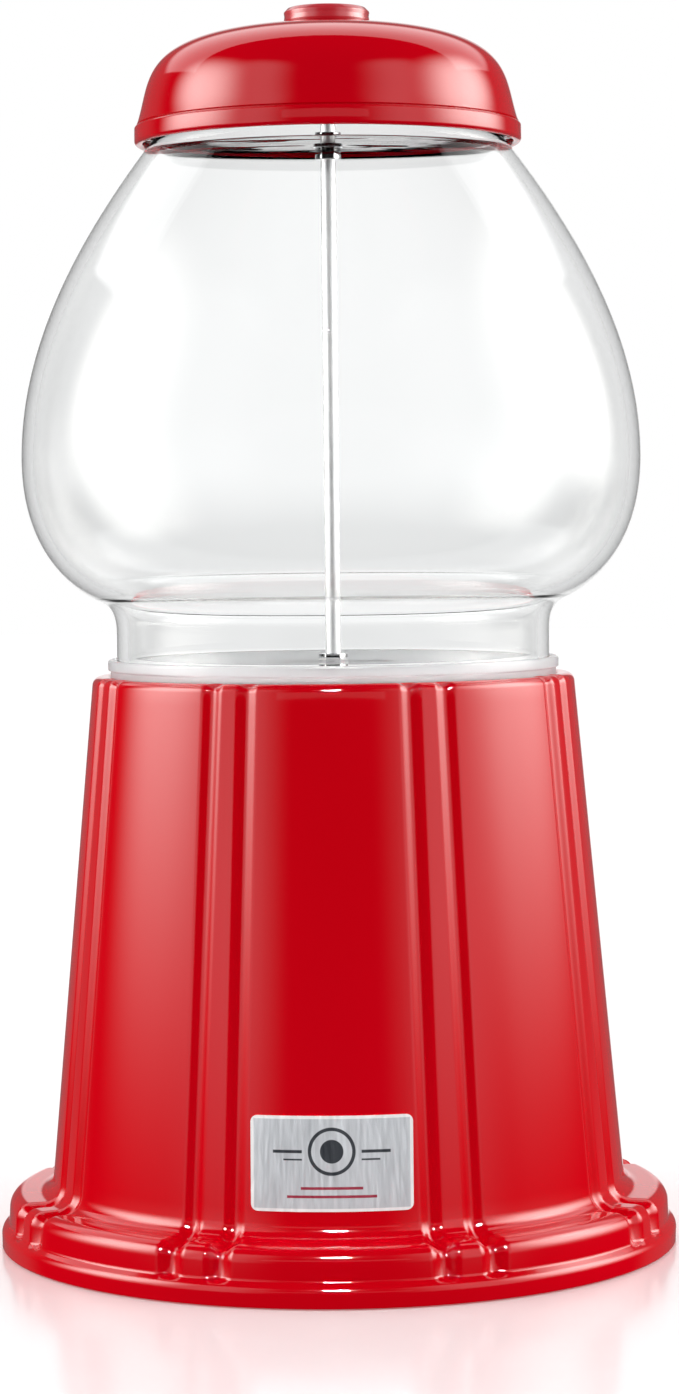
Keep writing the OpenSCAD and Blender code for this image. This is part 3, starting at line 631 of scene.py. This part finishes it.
def make_knob():
    """Small turned knob with softly rounded edges and a faint waist."""
    waist = KNOB_R - 0.5 * MM
    middle = (KNOB_BOTTOM + KNOB_TOP) / 2
    outline = rounded([
        (4.5 * MM, KNOB_BOTTOM, 0), (KNOB_R - 0.4 * MM, KNOB_BOTTOM, 0.6 * MM),
        (KNOB_R, KNOB_BOTTOM + 1.2 * MM, 0.6 * MM), (waist + 0.3 * MM, middle, 0.6 * MM),
        (KNOB_R, KNOB_TOP - 1.3 * MM, 0.6 * MM), (KNOB_R - 1.2 * MM, KNOB_TOP, 0.9 * MM),
        (0, KNOB_TOP, 0), (0, KNOB_TOP - 2 * MM, 0), (4.5 * MM, KNOB_TOP - 2 * MM, 0)])
    obj = lathe("knob_turning", outline, 128)
    finish_piece(obj, "lid_knob", MATERIALS["knob"], sharp=50)
    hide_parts("lid_knob")


# ------------------------------------------------------------------ carried-over CAD nodes
REPLACED = ("pedestal", "pedestal_foot", "coin_pad", "chute_hood", "glass_globe", "hopper", "hopper_floor",
            "lid", "lid_knob", "rear_label")


def make_small_parts():
    """Outside hard parts get their edges rounded; every node gets its material."""
    for node, width in {
            "coin_face_plate": 0.5, "coin_handle": 1.1, "handle_nut": 0.3, "chute_bezel": 0.6,
            "chute_flap": 0.25, "face_plate_screws": 0.2, "bezel_screws": 0.15,
            "rod_top_nut": 0.25, "rod_hub_nut": 0.25, "rod_base_nut": 0.25}.items():
        softened(node, width * MM)
    for node in nodes:
        if node in REPLACED:
            continue
        obj = nodes[node]
        obj.data.materials.clear()
        look = {"lid_liner": "liner", "centre_rod": "rod"}.get(node, SLOT_OF[node])
        obj.data.materials.append(MATERIALS[look])


# ------------------------------------------------------------------ label
def label_material(low, high):
    """Brushed foil with a white border and a plain printed ornament: a ring, a dot and rules."""
    m = Shader("label_foil").set(Metallic=0.35)
    graph = Graph(m.tree)
    split = m.node("ShaderNodeSeparateXYZ")
    m.link(m.coords(), split.inputs["Vector"])
    x = graph.math("ABSOLUTE", split.outputs["X"])
    z = graph.math("SUBTRACT", split.outputs["Z"], (low.z + high.z) / 2)
    half_w, half_h, soft = high.x, (high.z - low.z) / 2, 0.1 * MM

    def inside(value, limit):
        return graph.step(value, limit + soft, limit - soft)

    def bar(middle, half_height, reach, start=0.0):
        row = inside(graph.math("ABSOLUTE", graph.math("SUBTRACT", z, middle)), half_height)
        gap = graph.step(x, start - soft, start + soft) if start else 1.0
        return graph.product(row, inside(x, reach), gap)

    face = graph.product(inside(x, half_w - 0.9 * MM), inside(graph.math("ABSOLUTE", z), half_h - 0.9 * MM))
    rise = graph.math("SUBTRACT", z, 3.5 * MM)
    radius = graph.math("SQRT", graph.math("ADD", graph.product(x, x), graph.product(rise, rise)))
    ring = inside(graph.math("ABSOLUTE", graph.math("SUBTRACT", radius, 6.4 * MM)), 0.5 * MM)
    dark = graph.math("MAXIMUM", graph.math("MAXIMUM", ring, inside(radius, 3.4 * MM)),
                      graph.math("MAXIMUM", bar(3.5 * MM, 0.45 * MM, 17 * MM, 8.6 * MM),
                                 bar(1.2 * MM, 0.25 * MM, 14 * MM, 8.6 * MM)))
    wine = graph.math("MAXIMUM", bar(-7.0 * MM, 0.4 * MM, 9 * MM), bar(-9.4 * MM, 0.4 * MM, 13 * MM))
    colour = m.ramp(m.noise(900, 3, (1, 1, 0.05)), (0.51, 0.53, 0.56), (0.64, 0.66, 0.69))
    for mask, ink in ((graph.math("SUBTRACT", 1.0, face), (0.90, 0.88, 0.88)),
                      (dark, (0.03, 0.035, 0.045)), (wine, (0.35, 0.02, 0.05))):
        mix = m.node("ShaderNodeMix", data_type="RGBA")
        m.link(mask, mix.inputs["Factor"])
        m.link(colour, mix.inputs[6])
        mix.inputs[7].default_value = (*ink, 1)
        colour = mix.outputs[2]
    m.feed("Base Color", colour)
    m.feed("Roughness", m.ramp(m.noise(1500, 3, (1, 1, 0.05)), 0.28, 0.42))
    return m.material


def make_label():
    """Foil wrapped on the rear panel's taper, with rounded corners and printed layers."""
    low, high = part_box("rear_label")
    half_w, corner = high.x, 2.0 * MM
    mid_z, half_h = (low.z + high.z) / 2, (high.z - low.z) / 2
    foil = wrapped_plate("label_foil", half_w, half_h, corner, mid_z, 0.28 * MM)
    finish_piece(foil, "rear_label", label_material(low, high))
    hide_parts("rear_label")


def wrapped_plate(name, half_w, half_h, corner, mid_z, thickness, steps=48):
    """Rounded rectangle laid on the tapered wall at the back, as a thin closed sheet."""
    columns = [half_w * math.sin(math.pi / 2 * (2 * i / steps - 1)) for i in range(steps + 1)]
    verts, faces = [], []
    rows = 10
    for lift in (0.02 * MM, thickness):
        for x in columns:
            over = max(0.0, abs(x) - (half_w - corner))
            tall = half_h - corner + math.sqrt(max(0.0, corner ** 2 - over ** 2))
            for k in range(rows + 1):
                z = mid_z + tall * (2 * k / rows - 1)
                r = wall_r(z) + lift
                verts.append((x, math.sqrt(r * r - x * x), z))
    n = rows + 1
    layer = n * len(columns)
    for i in range(steps):
        for k in range(rows):
            a, b, c, d = i * n + k, (i + 1) * n + k, (i + 1) * n + k + 1, i * n + k + 1
            faces += [(a, b, c, d), (a + layer, d + layer, c + layer, b + layer)]
        for k in (0, rows):
            a, b = i * n + k, (i + 1) * n + k
            faces.append((a, b, b + layer, a + layer))
    for i in (0, steps):
        for k in range(rows):
            a, b = i * n + k, i * n + k + 1
            faces.append((a, b, b + layer, a + layer))
    return mesh_object(name, verts, faces)


# ------------------------------------------------------------------ stage and light
def make_stage():
    """Pale floor, slightly glossy round the object and matt further out. The object's own light,
    reflections and refraction don't see it."""
    half = 6.0
    floor = mesh_object("floor", [(-half, -half, 0), (half, -half, 0), (half, half, 0), (-half, half, 0)],
                        [(0, 1, 2, 3)])
    m = Shader("floor_white").set(IOR=1.6)
    m.feed("Base Color", m.ramp(m.noise(3, 2), (0.945, 0.945, 0.95), (0.96, 0.96, 0.965)))
    m.feed("Roughness", m.ramp(m.noise(40, 2), 0.16, 0.20))
    graph = Graph(m.tree)
    split = m.node("ShaderNodeSeparateXYZ")
    m.link(m.coords(), split.inputs["Vector"])
    squares = [graph.product(split.outputs[i], split.outputs[i]) for i in (0, 1)]
    away = graph.math("SQRT", graph.math("ADD", *squares))
    m.feed("Specular IOR Level", graph.product(graph.step(away, 0.7, 0.25), 0.5))
    floor.data.materials.append(m.material)
    floor.visible_diffuse = floor.visible_glossy = floor.visible_transmission = False


class Graph:
    """Short helpers for the value nodes of a material, world or light."""

    def __init__(self, tree):
        self.tree = tree

    def math(self, operation, *values):
        made = self.tree.nodes.new("ShaderNodeMath")
        made.operation = operation
        for socket, value in zip(made.inputs, values):
            if isinstance(value, (int, float)):
                socket.default_value = value
            else:
                self.tree.links.new(value, socket)
        return made.outputs["Value"]

    def step(self, value, low, high):
        """Smooth rise from 0 at low to 1 at high; low above high makes it a fall."""
        made = self.tree.nodes.new("ShaderNodeMapRange")
        made.interpolation_type = "SMOOTHERSTEP"
        rising = low < high
        made.inputs["From Min"].default_value = min(low, high)
        made.inputs["From Max"].default_value = max(low, high)
        made.inputs["To Min"].default_value = 0.0 if rising else 1.0
        made.inputs["To Max"].default_value = 1.0 if rising else 0.0
        self.tree.links.new(value, made.inputs["Value"])
        return made.outputs["Result"]

    def product(self, *values):
        result = values[0]
        for value in values[1:]:
            result = self.math("MULTIPLY", result, value)
        return result


def make_world():
    """White room: plain white where it is seen and slightly greyer through the glass, even light
    on matt surfaces, and in reflections a dark studio with a narrow white backdrop, a faint glow
    round it, and a wider one for what stands inside the glass."""
    world = bpy.data.worlds.new("world")
    scene.world = world
    world.use_nodes = True
    world.cycles.sampling_method = "NONE"
    graph = Graph(world.node_tree)
    path = world.node_tree.nodes.new("ShaderNodeLightPath").outputs
    place = world.node_tree.nodes.new("ShaderNodeTexCoord")
    split = world.node_tree.nodes.new("ShaderNodeSeparateXYZ")
    world.node_tree.links.new(place.outputs["Generated"], split.inputs["Vector"])
    across, along, up = (split.outputs[i] for i in range(3))
    height = graph.math("ABSOLUTE", up)
    through = graph.math("MINIMUM", path["Transmission Depth"], 1.0)
    matt = graph.math("MINIMUM", path["Diffuse Depth"], 1.0)
    bright = graph.math("SUBTRACT", 1.0, matt)
    gloss = graph.product(bright, graph.math("MINIMUM", path["Glossy Depth"], 1.0))
    seen = graph.math("SUBTRACT", bright, gloss)
    behind = graph.math("MAXIMUM", graph.math("MULTIPLY", along, -1.0), 0.0)
    overhead = graph.math("MAXIMUM", up, 0.0)
    matt_light = graph.math("ADD", graph.math("ADD", graph.product(graph.step(up, -0.3, 0.3), 0.23), 0.48),
                            graph.math("ADD", graph.product(across, across, 1.0),
                                       graph.product(overhead, behind, 1.2)))
    narrow = graph.product(graph.step(graph.math("ABSOLUTE", across), 0.24, 0.14),
                           graph.step(along, 0.0, -0.2), graph.step(height, 0.45, 0.2))
    wide = graph.product(graph.step(graph.math("ABSOLUTE", across), 0.9, 0.5),
                         graph.step(along, 0.3, -0.3), graph.step(height, 0.85, 0.45), through)
    rear = graph.product(graph.step(along, -0.4, -0.7), 0.15)
    gloss_light = graph.math("MAXIMUM", rear, graph.math("MAXIMUM", narrow, wide))
    sinking = graph.product(graph.step(up, 0.02, -0.035), 0.15)
    steep = graph.math("ADD", sinking, graph.product(graph.step(height, 0.15, 1.0), 0.55))
    seen_light = graph.math("ADD", 1.0, graph.product(through, graph.math("SUBTRACT", 0.01, steep)))
    strength = graph.math("ADD", graph.product(matt, matt_light), graph.math(
        "ADD", graph.product(gloss, gloss_light), graph.product(seen, seen_light)))
    shade = world.node_tree.nodes["Background"]
    shade.inputs["Color"].default_value = (1, 1, 1, 1)
    world.node_tree.links.new(strength, shade.inputs["Strength"])


def area_light(name, location, target, size, radiance, sees):
    """Rectangular light of a given radiance; sees names the kinds of ray that it takes part in."""
    data = bpy.data.lights.new(name, "AREA")
    data.shape, data.size, data.size_y = "RECTANGLE", size[0], size[1]
    data.energy = radiance * math.pi * size[0] * size[1]
    obj = bpy.data.objects.new(name, data)
    scene.collection.objects.link(obj)
    obj.location = location
    aim = (Vector(target) - Vector(location)).normalized()
    obj.rotation_euler = aim.to_track_quat("-Z", "Y").to_euler()
    obj.visible_diffuse, obj.visible_glossy = "diffuse" in sees, "glossy" in sees
    obj.visible_transmission = obj.visible_glossy
    return data


def fade(data, across, down):
    """Softens a light's edges: across and down are (rise, full, full, fall) as shares of its size."""
    data.use_nodes = True
    graph = Graph(data.node_tree)
    geometry = data.node_tree.nodes.new("ShaderNodeNewGeometry")
    split = data.node_tree.nodes.new("ShaderNodeSeparateXYZ")
    data.node_tree.links.new(geometry.outputs["Parametric"], split.inputs["Vector"])
    parts = []
    for socket, (start, full, end, gone) in zip(split.outputs, (across, down)):
        if full > start:
            parts.append(graph.step(socket, start, full))
        if gone > end:
            parts.append(graph.step(socket, gone, end))
    data.node_tree.links.new(graph.product(*parts), data.node_tree.nodes["Emission"].inputs["Strength"])


def make_light():
    """Two tall side boxes that fade towards the floor, weaker wings between them and the camera, a
    wide panel above and beyond the object, a faint strip and a small key on the camera's side, and
    matt-only fills."""
    distance, height, low = 1.0, 1.6, -0.11
    wing_distance, wing_turn = 1.05, math.radians(46)
    for side, azimuth, width in ((-1, math.radians(93), 1.65), (1, math.radians(82), 1.4)):
        x, y = side * distance * math.sin(azimuth), distance * math.cos(azimuth)
        box = area_light(f"side_box_{side + 1}", (x, y, low + height / 2), (0, 0, low + height / 2),
                         (width, height), 10.5, ("glossy",))
        box.color = (1.0, 0.98, 0.94)
        fade(box, (0.0, 0.5, 0.5, 1.0), (0.0, 0.44, 0.47, 1.0))
        wing_x, wing_y = side * wing_distance * math.sin(wing_turn), wing_distance * math.cos(wing_turn)
        wing = area_light(f"side_wing_{side + 1}", (wing_x, wing_y, 0.70), (0, 0, 0.70), (1.25, 1.7), 1.35,
                          ("glossy",))
        fade(wing, (0.0, 0.55, 0.55, 1.0), (0.0, 0.22, 0.75, 1.0))
        area_light(f"side_fill_{side + 1}", (side * 1.2, 0.25, 0.6), (0, 0, 0.2), (0.8, 1.0), 1.6,
                   ("diffuse",))
    roof = area_light("roof_panel", (0, -1.30, 1.55), (0, -1.30, 0), (4.4, 2.04), 1.5, ("glossy",))
    fade(roof, (0.0, 0.03, 0.97, 1.0), (0.0, 0.35, 0.99, 1.0))
    area_light("front_strip", (0, 1.3, 0.50), (0, 0, 0.5), (1.2, 0.22), 0.5, ("glossy",))
    key = area_light("key", (0, 1.09, 1.02), (0, 0.1, 0.05), (0.19, 0.10), 8.0, ("glossy",))
    key.spread = math.radians(12)
    scene.view_settings.view_transform = "Standard"


make_camera()
make_stage()
make_world()
make_light()
make_pedestal()
make_globe()
make_hopper()
make_lid()
make_knob()
make_label()
make_small_parts()
